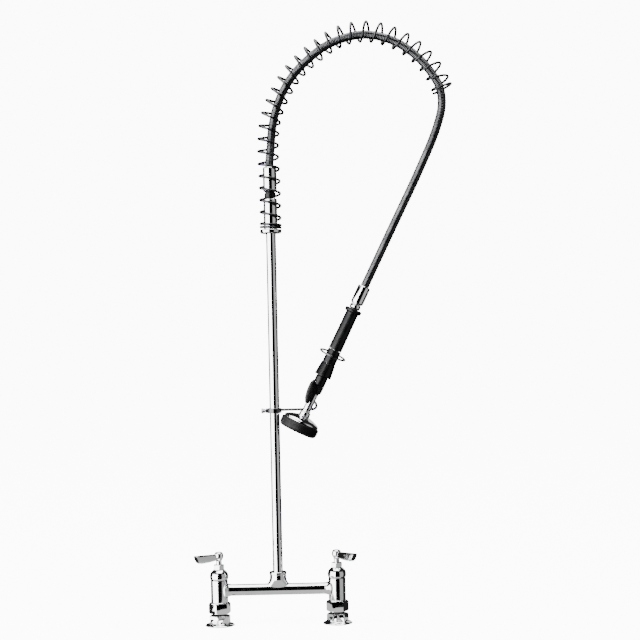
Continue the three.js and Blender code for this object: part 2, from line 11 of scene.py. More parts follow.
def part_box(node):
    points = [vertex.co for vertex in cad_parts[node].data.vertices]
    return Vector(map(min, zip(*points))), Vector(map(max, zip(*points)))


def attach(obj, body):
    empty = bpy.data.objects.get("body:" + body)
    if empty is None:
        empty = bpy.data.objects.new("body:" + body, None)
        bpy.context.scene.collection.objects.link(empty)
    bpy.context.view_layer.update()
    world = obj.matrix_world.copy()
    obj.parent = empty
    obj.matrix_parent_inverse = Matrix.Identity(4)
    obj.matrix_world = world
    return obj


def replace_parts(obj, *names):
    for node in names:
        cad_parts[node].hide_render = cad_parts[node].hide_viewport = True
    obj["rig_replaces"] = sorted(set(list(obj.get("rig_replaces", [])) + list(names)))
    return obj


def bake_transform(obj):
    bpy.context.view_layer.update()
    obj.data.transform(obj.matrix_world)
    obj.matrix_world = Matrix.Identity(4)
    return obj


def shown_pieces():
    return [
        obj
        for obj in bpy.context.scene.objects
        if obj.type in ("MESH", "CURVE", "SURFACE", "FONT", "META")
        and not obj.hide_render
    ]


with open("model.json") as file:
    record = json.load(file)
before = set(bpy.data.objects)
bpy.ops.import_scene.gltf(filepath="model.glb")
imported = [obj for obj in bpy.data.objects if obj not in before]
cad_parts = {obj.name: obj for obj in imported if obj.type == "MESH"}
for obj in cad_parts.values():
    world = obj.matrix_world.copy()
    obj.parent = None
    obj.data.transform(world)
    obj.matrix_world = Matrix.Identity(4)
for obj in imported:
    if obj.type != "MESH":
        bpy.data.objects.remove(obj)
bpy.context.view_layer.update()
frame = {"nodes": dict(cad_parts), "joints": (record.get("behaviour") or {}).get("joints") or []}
MM = 0.001
JOINTS = {j["name"]: j for j in frame["joints"]}


def middle(node):
    """The centre of a CAD node's box."""
    low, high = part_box(node)
    return (low + high) / 2


# ---------------------------------------------------------------- driving dimensions, in millimetres
PILLAR_X = middle("cold_bonnet").x / MM
BRIDGE_Z = 60.5
BRIDGE_R = 9.9
PILLAR_R = 14.8
PILLAR_TOP_Z = 79.0
COLLAR_R = 14.0
COLLAR_TOP_Z = 91.0
NUT_TOP_Z = 39.0
RISER_R = 8.55
HOOK_Z = 369.0
CLAMP_SCREW_Z = HOOK_Z - 0.4
SEAT_TOP_Z = 681.0
SLEEVE_R = 11.8
SPRING_R = 17.2
WIRE_R = 2.1
HOSE_R = 7.6
HOSE_TOP_Z = 789.0
HANDLE_TOP = (159.8, 579.4)
CHEEK_INNER = 7.7
CHEEK_OUTER = 9.3
GAP = 0.3
SMOOTH = 72  # sides of a round piece
SIDES = {"hot": (-PILLAR_X, 180 + 37, 15), "cold": (PILLAR_X, -50, 0)}

HANDLE_AXIS = Vector(JOINTS["handle_swivel"]["axis"])
LEAN = math.atan2(HANDLE_AXIS.x, HANDLE_AXIS.z)
HANDLE_FRAME = Matrix.Translation(Vector((HANDLE_TOP[0], 0, HANDLE_TOP[1]))) @ Matrix.Rotation(LEAN, 4, "Y")


# ---------------------------------------------------------------- camera
CAMERA_AT = (0.0816, -2.7, 0.5232)
CAMERA_LENS = 88
CAMERA_ROLL = math.radians(1.2)


def make_camera():
    """A long lens square to the faucet's front, turned by a small roll."""
    data = bpy.data.cameras.new("camera")
    data.lens = CAMERA_LENS
    data.sensor_width = 36
    camera = bpy.data.objects.new("camera", data)
    bpy.context.scene.collection.objects.link(camera)
    camera.location = CAMERA_AT
    roll = Matrix.Rotation(CAMERA_ROLL, 4, "Y")
    camera.rotation_euler = (roll @ Matrix.Rotation(math.radians(90), 4, "X")).to_euler()
    bpy.context.scene.camera = camera


make_camera()


# ---------------------------------------------------------------- mesh helpers
def new_object(name, vertices, faces):
    """A mesh object from points in millimetres, already in the row frame."""
    mesh = bpy.data.meshes.new(name)
    mesh.from_pydata([tuple(c * MM for c in v) for v in vertices], [], faces)
    mesh.update()
    made = bpy.data.objects.new(name, mesh)
    bpy.context.scene.collection.objects.link(made)
    return made


def outward(made):
    """Merges doubled points and turns every face outwards."""
    b = bmesh.new()
    b.from_mesh(made.data)
    bmesh.ops.remove_doubles(b, verts=b.verts, dist=1e-7)
    bmesh.ops.recalc_face_normals(b, faces=b.faces)
    b.to_mesh(made.data)
    b.free()
    return made


def place(made, where):
    """Moves a mesh by a matrix whose shift is in millimetres."""
    shift = where.copy()
    shift.translation = where.translation * MM
    made.data.transform(shift)
    return made


def circle(radius_x, radius_y, z, sides, x=0.0, y=0.0):
    """Evenly turned points of a circle or an ellipse at a height."""
    angles = [2 * math.pi * k / sides for k in range(sides)]
    return [(x + radius_x * math.cos(a), y + radius_y * math.sin(a), z) for a in angles]


def rings_to_mesh(name, rings, close_ends=True, loop=False):
    """A skin over rings of equally many points."""
    count = len(rings[0])
    faces = []
    spans = len(rings) if loop else len(rings) - 1
    for i in range(spans):
        a, b = i * count, ((i + 1) % len(rings)) * count
        for k in range(count):
            n = (k + 1) % count
            faces.append((a + k, a + n, b + n, b + k))
    vertices = [p for r in rings for p in r]
    if close_ends and not loop:
        faces.append(tuple(range(count))[::-1])
        faces.append(tuple(range(len(vertices) - count, len(vertices))))
    return outward(new_object(name, vertices, faces))


def rounded(points, radius, steps=4):
    """An outline's inner corners replaced by short curves, so that turned edges catch the light."""
    result = [points[0]]
    for before, at, after in zip(points, points[1:], points[2:]):
        p, q, r = (np.array(x, float) for x in (before, at, after))
        a, b = np.linalg.norm(p - q), np.linalg.norm(r - q)
        cut = min(radius, a * 0.45, b * 0.45)
        if cut < 0.02:
            result.append(tuple(at))
            continue
        start, end = q + (p - q) / a * cut, q + (r - q) / b * cut
        for k in range(steps + 1):
            t = k / steps
            result.append(tuple((1 - t) ** 2 * start + 2 * t * (1 - t) * q + t * t * end))
    result.append(points[-1])
    return result


def turned(name, points, x=0.0, y=0.0, soft=0.35, sides=SMOOTH, closed=False):
    """A solid of revolution about Z from [radius, z] points in millimetres."""
    outline = list(points)
    if closed:
        outline = [tuple((np.array(outline[-1]) + np.array(outline[0])) / 2), *outline]
        outline.append(outline[0])
        outline = rounded(outline, soft)[:-1]
    else:
        outline = rounded(outline, soft)
    rings = [circle(max(r, 1e-4), max(r, 1e-4), z, sides, x, y) for r, z in outline]
    return rings_to_mesh(name, rings, close_ends=not closed, loop=closed)


def down(points):
    """[radius, distance down the handle] points as [radius, z] ones in the handle's own axes."""
    return [(r, -t) for r, t in points]


def prism(name, outline, low, high, axis="Z"):
    """A prism of an outline; axis Z takes [x, y] points, and axis Y takes [x, z] ones."""
    if axis == "Z":
        rings = [[(x, y, level) for x, y in outline] for level in (low, high)]
    else:
        rings = [[(x, level, z) for x, z in outline] for level in (low, high)]
    return rings_to_mesh(name, rings)


def block(name, x0, x1, y0, y1, z0, z1):
    """A box between two limits on each axis."""
    return prism(name, [(x0, y0), (x1, y0), (x1, y1), (x0, y1)], z0, z1)


def finished(made):
    """Applies an object's modifiers to its mesh."""
    done = bpy.data.meshes.new_from_object(made.evaluated_get(bpy.context.evaluated_depsgraph_get()))
    made.modifiers.clear()
    made.data = done
    return made


def combine(made, other, how):
    """Joins, cuts or intersects one solid with another, which is used up."""
    tool = made.modifiers.new("tool", "BOOLEAN")
    tool.operation = how
    tool.solver = "EXACT"
    tool.object = other
    finished(made)
    bpy.data.objects.remove(other)
    return made


def soften(made, width, angle=30):
    """Rounds the edges that are sharper than an angle."""
    tool = made.modifiers.new("edge", "BEVEL")
    tool.width = width * MM
    tool.segments = 3
    tool.limit_method = "ANGLE"
    tool.angle_limit = math.radians(angle)
    tool.use_clamp_overlap = True
    return finished(made)


def hexagon(name, across, z0, z1, chamfer, turn, x):
    """A hexagon with turned corners, measured across its flats."""
    corner = across / math.sqrt(3)
    outline = [(corner * math.cos(k * math.pi / 3), corner * math.sin(k * math.pi / 3)) for k in range(6)]
    made = prism(name, outline, z0, z1)
    rise = (corner - across / 2) * 0.8
    dome = turned("dome", [(0, z0), (corner - chamfer, z0), (corner + 0.05, z0 + rise),
                           (corner + 0.05, z1 - rise), (corner - chamfer, z1), (0, z1)], soft=0.1)
    combine(made, dome, "INTERSECT")
    made.data.transform(Matrix.Rotation(math.radians(turn), 4, "Z"))
    made.data.transform(Matrix.Translation((x * MM, 0, 0)))
    return made


def catmull(points, samples):
    """The centripetal Catmull-Rom curve through points, evenly spaced along its length."""
    p = [np.array(q, float) for q in points]
    p = [2 * p[0] - p[1], *p, 2 * p[-1] - p[-2]]
    per_span = 60
    dense = []
    for a, b, c, d in zip(p, p[1:], p[2:], p[3:]):
        t0, t1, t2 = (max(np.linalg.norm(v - u), 1e-6) ** 0.5 for u, v in ((a, b), (b, c), (c, d)))
        m1 = ((b - a) / t0 - (c - a) / (t0 + t1) + (c - b) / t1) * t1
        m2 = ((c - b) / t1 - (d - b) / (t1 + t2) + (d - c) / t2) * t1
        for k in range(per_span):
            t = k / per_span
            dense.append((2 * t**3 - 3 * t**2 + 1) * b + (t**3 - 2 * t**2 + t) * m1
                         + (-2 * t**3 + 3 * t**2) * c + (t**3 - t**2) * m2)
    dense.append(p[-2])
    dense = np.array(dense)
    far = np.concatenate([[0], np.cumsum(np.linalg.norm(np.diff(dense, axis=0), axis=1))])
    at = np.linspace(0, far[-1], samples)
    return np.stack([np.interp(at, far, dense[:, k]) for k in range(3)], axis=1), far[-1]


def swept(name, line, radii, sides, side_axis=(0, 1, 0)):
    """A tube along a line, with a radius for each of its points."""
    ahead = np.gradient(line, axis=0)
    ahead /= np.linalg.norm(ahead, axis=1)[:, None]
    first = np.array(side_axis, float)
    rings = []
    for point, t, r in zip(line, ahead, radii):
        first = first - t * (first @ t)
        first /= np.linalg.norm(first)
        second = np.cross(t, first)
        rings.append([tuple(point + r * (math.cos(a) * first + math.sin(a) * second))
                      for a in (2 * math.pi * k / sides for k in range(sides))])
    return rings_to_mesh(name, rings)


# ---------------------------------------------------------------- materials
def shader(name, color, roughness, metallic=0.0):
    """A new material with its parts to build on, and the object coordinates that patterns follow."""
    made = bpy.data.materials.new(name)
    made.use_nodes = True
    nodes, links = made.node_tree.nodes, made.node_tree.links
    body = nodes["Principled BSDF"]
    body.inputs["Base Color"].default_value = (*color, 1)
    body.inputs["Roughness"].default_value = roughness
    body.inputs["Metallic"].default_value = metallic
    place_node = nodes.new("ShaderNodeTexCoord")
    return made, nodes, links, body, place_node.outputs["Object"]


def noise(nodes, links, where, scale, detail):
    """Cloudy noise between 0 and 1."""
    made = nodes.new("ShaderNodeTexNoise")
    made.inputs["Scale"].default_value = scale
    made.inputs["Detail"].default_value = detail
    links.new(where, made.inputs["Vector"])
    return made.outputs["Fac"]


def spread(nodes, links, value, low, high):
    """Stretches the middle of a noise over the range low to high."""
    made = nodes.new("ShaderNodeMapRange")
    made.inputs["From Min"].default_value = 0.35
    made.inputs["From Max"].default_value = 0.65
    made.inputs["To Min"].default_value = low
    made.inputs["To Max"].default_value = high
    links.new(value, made.inputs["Value"])
    return made.outputs["Result"]


def tint(nodes, links, value, first, second):
    """A mix of two colours by a value."""
    made = nodes.new("ShaderNodeMix")
    made.data_type = "RGBA"
    made.inputs["A"].default_value = (*first, 1)
    made.inputs["B"].default_value = (*second, 1)
    links.new(value, made.inputs["Factor"])
    return made.outputs["Result"]


def bump(nodes, links, body, height, strength, distance):
    """Fine relief on a surface from a height."""
    made = nodes.new("ShaderNodeBump")
    made.inputs["Strength"].default_value = strength
    made.inputs["Distance"].default_value = distance
    links.new(height, made.inputs["Height"])
    links.new(made.outputs["Normal"], body.inputs["Normal"])


def metal(name, bright, dull, low, high, ripple, ripple_scale):
    """Plated metal: faint stains in colour, smears in roughness, and the waviness of polishing."""
    made, nodes, links, body, where = shader(name, bright, low, 1.0)
    stains = noise(nodes, links, where, 38, 5)
    links.new(tint(nodes, links, spread(nodes, links, stains, 0, 1), bright, dull), body.inputs["Base Color"])
    smears = noise(nodes, links, where, 150, 4)
    links.new(spread(nodes, links, smears, low, high), body.inputs["Roughness"])
    bump(nodes, links, body, noise(nodes, links, where, ripple_scale, 2), ripple, 0.0004)
    return made


def moulded(name, color, worn, low, high, grain, grain_scale):
    """Moulded plastic or rubber: a fine grain, cloudy gloss and slightly greyed wear."""
    made, nodes, links, body, where = shader(name, color, low)
    body.inputs["Specular IOR Level"].default_value = 0.22
    patches = noise(nodes, links, where, 60, 5)
    links.new(tint(nodes, links, spread(nodes, links, patches, 0, 1), color, worn), body.inputs["Base Color"])
    links.new(spread(nodes, links, noise(nodes, links, where, 260, 4), low, high), body.inputs["Roughness"])
    bump(nodes, links, body, noise(nodes, links, where, grain_scale, 3), grain, 0.0002)
    return made


CHROME = metal("chrome", (0.86, 0.865, 0.875), (0.80, 0.81, 0.82), 0.035, 0.09, 0.05, 120)
CAST_CHROME = metal("cast_chrome", (0.85, 0.855, 0.865), (0.78, 0.79, 0.80), 0.05, 0.12, 0.16, 90)
# Painted shade: the spring steel's base colour is near black, far darker than steel, so that the coil reads
# dark.
SPRING_STEEL_PAINTED_SHADE = metal("spring_steel", (0.05, 0.051, 0.053), (0.03, 0.031, 0.033), 0.10, 0.22, 0.08, 400)
# Painted shade: the hose steel's base colour is darkened, so that the hose reads dark, as it does inside the
# spring.
HOSE_STEEL_PAINTED_SHADE = metal("hose_steel", (0.14, 0.142, 0.147), (0.07, 0.071, 0.075), 0.12, 0.24, 0.06, 500)
# Painted shade: a darkened copy of the chrome, used on the hook and the hold ring so that they read dark.
CHROME_PAINTED_SHADE = metal("chrome_painted_shade", (0.10, 0.102, 0.106), (0.06, 0.061, 0.064), 0.08, 0.18, 0.05, 200)
STAINLESS = metal("stainless", (0.60, 0.61, 0.63), (0.52, 0.53, 0.55), 0.22, 0.38, 0.12, 600)
BRASS = metal("brass", (0.76, 0.58, 0.28), (0.62, 0.45, 0.20), 0.25, 0.42, 0.10, 500)
GRIP_BLACK = moulded("grip_black", (0.004, 0.004, 0.0045), (0.009, 0.009, 0.010), 0.26, 0.38, 0.10, 1600)
BODY_BLACK = moulded("body_black", (0.003, 0.003, 0.0035), (0.008, 0.008, 0.009), 0.22, 0.34, 0.08, 1200)
BUMPER_BLACK = moulded("bumper_black", (0.003, 0.003, 0.003), (0.008, 0.008, 0.008), 0.45, 0.6, 0.22, 1500)
SEAL_BLACK = moulded("seal_black", (0.03, 0.03, 0.03), (0.05, 0.05, 0.05), 0.6, 0.8, 0.3, 1500)
CERAMIC = moulded("ceramic", (0.85, 0.84, 0.80), (0.80, 0.79, 0.74), 0.12, 0.2, 0.05, 2000)


def dress(made, material, slot, body, *nodes, angle=28):
    """Gives a finished piece its material, smooth shading, body and the CAD nodes that it stands for."""
    made.data.materials.clear()
    made.data.materials.append(material)
    made.data.polygons.foreach_set("use_smooth", [True] * len(made.data.polygons))
    made.data.set_sharp_from_angle(angle=math.radians(angle))
    if body:
        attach(made, body)
    if nodes:
        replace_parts(made, *nodes)
    return made


# ---------------------------------------------------------------- hose and spring
def up_the_handle(t):
    """A point on the handle's axis, carried on above its top."""
    return (HANDLE_TOP[0] + t * math.sin(LEAN), HANDLE_TOP[1] + t * math.cos(LEAN))


HOSE_LEAVES_SPRING = (297, 918)
HOSE_ROUTE = [
    (0, HOSE_TOP_Z), (0, 797), (2.4, 818), (5.9, 855), (17.4, 899.4), (39.5, 940.6), (69.6, 972.7),
    (104.8, 997.8), (144, 1011.3), (178, 1013.3), (221.3, 1000.6), (260.2, 972.8), (287.9, 937.6),
    HOSE_LEAVES_SPRING, (299.5, 890), (289, 849), (257, 776), (214, 689),
    up_the_handle(40), up_the_handle(14), up_the_handle(0),
]
SPRING_ROUTE = [
    (0, SEAT_TOP_Z + GAP + WIRE_R), (-0.2, 760), (-1.8, 820), (1.7, 862.4), (11.8, 895.8), (43, 949.2),
    (89.3, 990.3), (127.5, 1012.4), (172, 1019.4), (216.5, 1008.3), (256.8, 983), (286.6, 948.4), (301.3, 917.2),
]


def flat(points):
    """[x, z] points in the plane of the arch."""
    return [(x, 0, z) for x, z in points]


def make_hose():
    """Interlocked metal hose: a rib every 2.6 mm, bent between the base and the hose's free end."""
    rib = 2.6
    groove = 0.75
    steps_a_rib = 6
    _, length = catmull(flat(HOSE_ROUTE), 10)
    count = int(length / rib * steps_a_rib)
    line, _ = catmull(flat(HOSE_ROUTE), count)
    turn = np.arange(count) / steps_a_rib
    radii = HOSE_R - groove * np.abs(np.cos(math.pi * turn)) ** 6
    made = swept("hose", line, radii, sides=28)
    dress(made, HOSE_STEEL_PAINTED_SHADE, "hose_steel", None, "hose_in_spring", "hose_drop", angle=60)
    pivot = Vector(JOINTS["hose_swing"]["pos_m"])
    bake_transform(made)
    [tuple(p * MM) for p in line[::steps_a_rib]]


def make_spring():
    """A left-handed coil: close turns at the foot, open ones over the arch, and a closed ring at its end."""
    close_pitch = 2 * WIRE_R + 0.6
    _, length = catmull(flat(SPRING_ROUTE), 10)
    # How far along the spring's axis the wire is after so many turns.
    knots = [(0, 0), (1.5, 1.5 * close_pitch), (20.5, 405), (29, length - close_pitch), (30, length)]
    total = knots[-1][0]
    middle_line, _ = catmull(flat(SPRING_ROUTE), 4000)
    steps_a_turn = 40
    ahead = np.gradient(middle_line, axis=0)
    ahead /= np.linalg.norm(ahead, axis=1)[:, None]
    turns = np.linspace(0, total, total * steps_a_turn + 1)
    far = np.interp(turns, [k for k, _ in knots], [f for _, f in knots])
    # A running mean over 15 samples rounds off the changes of pitch.
    reach = 7
    window = np.ones(2 * reach + 1) / (2 * reach + 1)
    far = np.convolve(np.pad(far, reach, mode="edge"), window, mode="valid")
    far[0], far[-1] = 0, length
    share = np.clip(far / length, 0, 1) * (len(middle_line) - 1)
    at = [np.interp(share, np.arange(len(middle_line)), middle_line[:, k]) for k in range(3)]
    along = [np.interp(share, np.arange(len(middle_line)), ahead[:, k]) for k in range(3)]
    angle = 2 * math.pi * turns
    line = np.stack([at[0] + SPRING_R * np.cos(angle) * along[2],
                     at[1] - SPRING_R * np.sin(angle),
                     at[2] - SPRING_R * np.cos(angle) * along[0]], axis=1)
    radii = np.full(len(line), WIRE_R)
    radii[0] = radii[-1] = WIRE_R * 0.82
    made = swept("spring", line, radii, sides=14, side_axis=(0, 0, 1))
    dress(made, SPRING_STEEL_PAINTED_SHADE, "spring_steel", "base", "overhead_spring", angle=60)


make_hose()
make_spring()


# ---------------------------------------------------------------- base
def make_casting():
    """The bridge tube, its tee, and a pillar with a flare at each end, joined into one."""
    length = [(BRIDGE_R, x) for x in np.linspace(-PILLAR_X, PILLAR_X, 61)]
    made = turned("bridge_tube", [(0, -PILLAR_X), *length, (0, PILLAR_X)], soft=0.1)
    made.data.transform(Matrix.Rotation(math.pi / 2, 4, "Y"))
    made.data.transform(Matrix.Translation((0, 0, BRIDGE_Z * MM)))
    # The tee: wide along the bridge at its foot, and round from its neck up. Each row is z and two radii.
    tee = ((58, 27, 4), (61, 26.5, 7.4), (64, 25, 8.9), (67, 21.8, 9.9), (69.5, 19.2, 10.9), (72, 17.1, 12),
           (74.5, 15.6, 12.9), (77, 14.7, 13.5), (80, 14.15, 13.9), (83, COLLAR_R, COLLAR_R),
           (86.2, COLLAR_R, COLLAR_R), (86.9, 14.7, 14.7), (87.4, 14.8, 14.8), (89.9, 14.8, 14.8),
           (90.6, 14.6, 14.6), (COLLAR_TOP_Z, 14.1, 14.1), (COLLAR_TOP_Z, 9.4, 9.4), (90.4, 8.9, 8.9),
           (84, 8.86, 8.86))
    combine(made, rings_to_mesh("tee", [circle(rx, ry, z, SMOOTH) for z, rx, ry in tee]), "UNION")
    for x, _, _ in SIDES.values():
        inward = -1 if x > 0 else 1
        flare = turned("flare", [(0, 0), (BRIDGE_R + 5.4, 0), (BRIDGE_R + 3.2, 2), (BRIDGE_R + 1.8, 4),
                                 (BRIDGE_R + 0.8, 6.5), (BRIDGE_R + 0.2, 9.5), (BRIDGE_R - 0.15, 12),
                                 (0, 12)], soft=1.2)
        flare.data.transform(Matrix.Rotation(inward * math.pi / 2, 4, "Y"))
        flare.data.transform(Matrix.Translation(((x + inward * 10.5) * MM, 0, BRIDGE_Z * MM)))
        combine(made, flare, "UNION")
        pillar = turned("pillar", [(0, 31), (14, 31), (14, NUT_TOP_Z + GAP),
                                   (PILLAR_R - 0.9, NUT_TOP_Z + GAP), (PILLAR_R, NUT_TOP_Z + 1.6),
                                   (PILLAR_R, PILLAR_TOP_Z - 1.6), (PILLAR_R - 0.9, PILLAR_TOP_Z),
                                   (0, PILLAR_TOP_Z)], x=x, soft=0.5)
        combine(made, pillar, "UNION")
    made.name = "bridge"
    dress(made, CAST_CHROME, "chrome", "base", "bridge_casting", angle=38)


def make_inlet(side):
    """A deck flange with its hexagon, and the union nut above it."""
    x, _, turn = SIDES[side]
    flange = turned("dome", [(0, 0), (25.2, 0), (25.4, 0.6), (25.1, 1.3), (23.5, 2.6), (20.6, 3.7), (17, 4.7),
                             (0, 4.7)], x=x, soft=0.8)
    skirt = turned("skirt", [(0, 3.6), (18.6, 3.8), (17.4, 5.2), (16.8, 7), (0, 7)], x=x, soft=0.6)
    combine(flange, skirt, "UNION")
    combine(flange, hexagon("hex", 33, 4, 17, 1.2, turn + 8, x), "UNION")
    neck = turned("neck", [(0, 15), (13.6, 16.6), (12.5, 18.4), (12.2, 20), (12.2, 24), (0, 24)], x=x, soft=0.8)
    combine(flange, neck, "UNION")
    flange = soften(flange, 0.35)
    flange.name = f"{side}_flange"
    dress(flange, CHROME, "chrome", "base", f"{side}_deck_flange")
    nut = hexagon("nut", 33.5, 21.5, NUT_TOP_Z, 1.4, turn, x)
    bore = turned("bore", [(0, 20), (12.5, 20), (12.5, 23.7), (14.3, 23.7), (14.3, 42), (0, 42)],
                  x=x, soft=0.05)
    combine(nut, bore, "DIFFERENCE")
    nut = soften(nut, 0.45)
    nut.name = f"{side}_union_nut"
    dress(nut, CHROME, "chrome", "base", f"{side}_coupling_nut")


def make_valve(side):
    """The dome, packing nut, spindle and lever of one side."""
    x, yaw, turn = SIDES[side]
    body = f"{side}_handle"
    bonnet = turned(f"{side}_dome", [(10.2, 74), (13, 74), (13, 79.2), (14.9, 79.4), (15.7, 81.2), (16, 83.6),
                                     (16, 86), (15.7, 88), (14.9, 90.2), (13.6, 92.3), (11.9, 94.1), (10, 95.6),
                                     (8.4, 96.5), (4.7, 96.5), (4.7, 92.4), (10.2, 92.4)],
                    x=x, soft=0.4, closed=True)
    dress(bonnet, CHROME, "chrome", "base", f"{side}_bonnet")
    gland = hexagon("gland", 17.4, 96.8, 104.5, 0.9, turn + 20, x)
    combine(gland, turned("bore", [(0, 96), (4.5, 96), (4.5, 106), (0, 106)], x=x, soft=0.05), "DIFFERENCE")
    gland = soften(gland, 0.35)
    gland.name = f"{side}_gland_nut"
    dress(gland, CHROME, "chrome", "base", f"{side}_packing_nut")
    spindle = turned(f"{side}_stem", [(0, 61), (5.2, 61), (6.4, 64.5), (6.4, 68), (4, 70), (4, 104),
                                      (3.6, 104.8), (3.6, 106.2), (4, 107), (4, 121), (0, 121)],
                     x=x, soft=0.3)
    dress(spindle, CHROME, "brass", body, f"{side}_spindle")
    make_lever(side, x, yaw, body)


def make_lever(side, x, yaw, body):
    """A hub on the spindle with a flat arm whose end turns up slightly, and a button on top."""
    turn = Matrix.Translation((x, 0, 0)) @ Matrix.Rotation(math.radians(yaw), 4, "Z")
    hub = turned("hub", [(0, 105.1), (4.9, 105.1), (5.05, 105.8), (4.85, 111), (5.6, 113.2), (7.1, 115.2),
                         (7.9, 117.4), (8.1, 119.8), (7.9, 122), (7.2, 124.2), (6, 125.8), (5, 126.25),
                         (4.25, 126.25), (4.25, 124.8), (0, 124.8)], soft=0.7)
    # Each row is a distance from the hub, the arm's underside and top there, and its half width.
    arm = ((3, 113, 123, 3.5), (10, 112, 123.3, 3.9), (16, 111.1, 123.6, 4.2), (23, 110.5, 123.8, 4.6),
           (30, 110.1, 124, 5), (36, 110.1, 124.15, 5.2), (41.5, 110.8, 124.3, 5.4), (44.6, 112.6, 124.4, 5.5),
           (46.6, 114.2, 124.45, 5.4))
    sides, squareness = 40, 0.55
    tip_from, tip_length, tip_lean = 44, 2.6, 2.2
    sections = []
    for along, low, high, half in arm:
        ring = []
        for k in range(sides):
            a = 2 * math.pi * k / sides
            c, s = math.cos(a), math.sin(a)
            ry = abs(c) ** squareness * math.copysign(half, c)
            rz = abs(s) ** squareness * math.copysign((high - low) / 2, s)
            lean = tip_lean * (rz / ((high - low) / 2)) if along > tip_from else 0
            ring.append((along + lean * (along - tip_from) / tip_length, ry, (low + high) / 2 + rz))
        sections.append(ring)
    blade = rings_to_mesh("blade", sections)
    combine(hub, blade, "UNION")
    lever = soften(hub, 0.5, angle=40)
    lever.name = f"{side}_lever_arm"
    place(lever, turn)
    dress(lever, CHROME, "chrome", body, f"{side}_lever", angle=40)
    cap = turned(f"{side}_button", [(0, 125), (3.85, 125), (3.85, 126), (3.5, 126.6), (2.4, 127), (0, 127.1)],
                 soft=0.3)
    place(cap, turn)
    dress(cap, CHROME, "chrome", body, f"{side}_index_button")


make_casting()
for side_name in SIDES:
    make_inlet(side_name)
    make_valve(side_name)


# ---------------------------------------------------------------- riser, hook and the fittings at its head
def make_riser():
    """The pipe, and the sleeves at its head that hold the spring and the hose."""
    pipe = turned("riser", [(6.2, 76.4), (RISER_R, 76.4), (RISER_R, 699.9), (6.2, 699.9)],
                  soft=0.4, closed=True)
    dress(pipe, CHROME, "chrome", "base", "riser_tube")
    inner = RISER_R + GAP
    seat = turned("seat_collar", [(16.4, 674), (17.8, 674.8), (18.5, 676.4), (18.6, 680.2), (18, 681),
                                  (inner, 681), (inner, 674)], soft=0.5, closed=True)
    dress(seat, CHROME, "chrome", "base", "spring_seat")
    sleeve = turned("coupling", [(SLEEVE_R - 0.5, 681.4), (SLEEVE_R, 682), (SLEEVE_R, 732.8),
                                 (SLEEVE_R - 1, 734), (9.9, 734), (9.9, 701), (inner, 701), (inner, 681.4)],
                    soft=0.25, closed=True)
    dress(sleeve, CHROME, "chrome", "base", "riser_coupling")
    stem = turned("hose_nipple", [(5, 703.8), (9.5, 703.8), (9.5, 728), (8.6, 731), (8.6, 736), (9.8, 736.6),
                                  (9.8, 743.4), (8.6, 744), (8.6, 745.9), (5, 745.9)], soft=0.25, closed=True)
    dress(stem, BODY_BLACK, "black_plastic", "base", "hose_stem")
    ferrule = turned("hose_crimp", [(5, 746.4), (10.8, 746.4), (SLEEVE_R, 748), (SLEEVE_R, 786.8),
                                    (10.9, 788.7), (5, 788.7)], soft=0.35, closed=True)
    dress(ferrule, CHROME, "chrome", "base", "hose_ferrule_top")


def on_clamp(made):
    """Lays a turned piece along the clamp's screw, which points away from the handle."""
    made.data.transform(Matrix.Rotation(-math.pi / 2, 4, "Y"))
    made.data.transform(Matrix.Translation((0, 0, CLAMP_SCREW_Z * MM)))
    return made


def make_hook():
    """A clamp on the riser with its thumb screw, and a round arm that curls up beside the handle's neck."""
    arm_r = 2.2
    arm_y = 14.5
    route = [(6, 10.2, HOOK_Z), (30, arm_y, HOOK_Z), (54, arm_y, HOOK_Z), (63, 15, HOOK_Z - 0.4),
             (69, 16, HOOK_Z + 0.6), (72, 18, HOOK_Z + 4), (71.4, 20, HOOK_Z + 9), (66, 21.5, HOOK_Z + 15.3)]
    line, _ = catmull(route, 130)
    arm = swept("arm", line, np.full(len(line), arm_r), sides=20, side_axis=(0, 0, 1))
    ball_r = 2.6
    half_turn = np.linspace(-math.pi / 2, math.pi / 2, 15)
    ball = turned("ball", [(ball_r * math.cos(a), ball_r * math.sin(a)) for a in half_turn],
                  soft=0.05, sides=32)
    place(ball, Matrix.Translation(route[-1]))
    clamp = turned("finger", [(0, HOOK_Z - 4.5), (11.6, HOOK_Z - 4.5), (12.15, HOOK_Z - 3.9),
                              (12.15, HOOK_Z + 3.2), (11.6, HOOK_Z + 3.8), (0, HOOK_Z + 3.8)], soft=0.3)
    boss = turned("boss", [(0, 9), (4, 9), (4, 14.8), (3.5, 15.3), (0, 15.3)], soft=0.3, sides=40)
    for piece in (on_clamp(boss), arm, ball):
        combine(clamp, piece, "UNION")
    bore_r = RISER_R + GAP
    bore = turned("bore", [(0, HOOK_Z - 20), (bore_r, HOOK_Z - 20), (bore_r, HOOK_Z + 20), (0, HOOK_Z + 20)],
                  soft=0.05)
    combine(clamp, bore, "DIFFERENCE")
    hole = turned("hole", [(0, 6), (2.3, 6), (2.3, 20), (0, 20)], soft=0.05, sides=32)
    combine(clamp, on_clamp(hole), "DIFFERENCE")
    clamp.name = "hook"
    # The hook wears the darkened copy of the chrome, with shade painted into its colour.
    dress(clamp, CHROME_PAINTED_SHADE, "chrome", "base", "finger_hook", angle=40)
    screw = turned("thumb_screw", [(0, 9), (1.9, 9), (1.9, 15.8), (3.1, 15.8), (3.4, 16.6), (4.5, 21.4),
                                   (4.2, 22.5), (3.4, 23), (0, 23)], soft=0.25, sides=96)
    ridges, ridge_depth = 24, 0.05
    for v in screw.data.vertices:
        r, z = math.hypot(v.co.x, v.co.y) / MM, v.co.z / MM
        if r > 2.8 and 16.4 < z < 22.8:
            inward = 1 - ridge_depth * (0.5 + 0.5 * math.cos(ridges * math.atan2(v.co.y, v.co.x)))
            v.co.x *= inward
            v.co.y *= inward
    dress(on_clamp(screw), STAINLESS, "stainless", "base", "hook_thumb_screw")


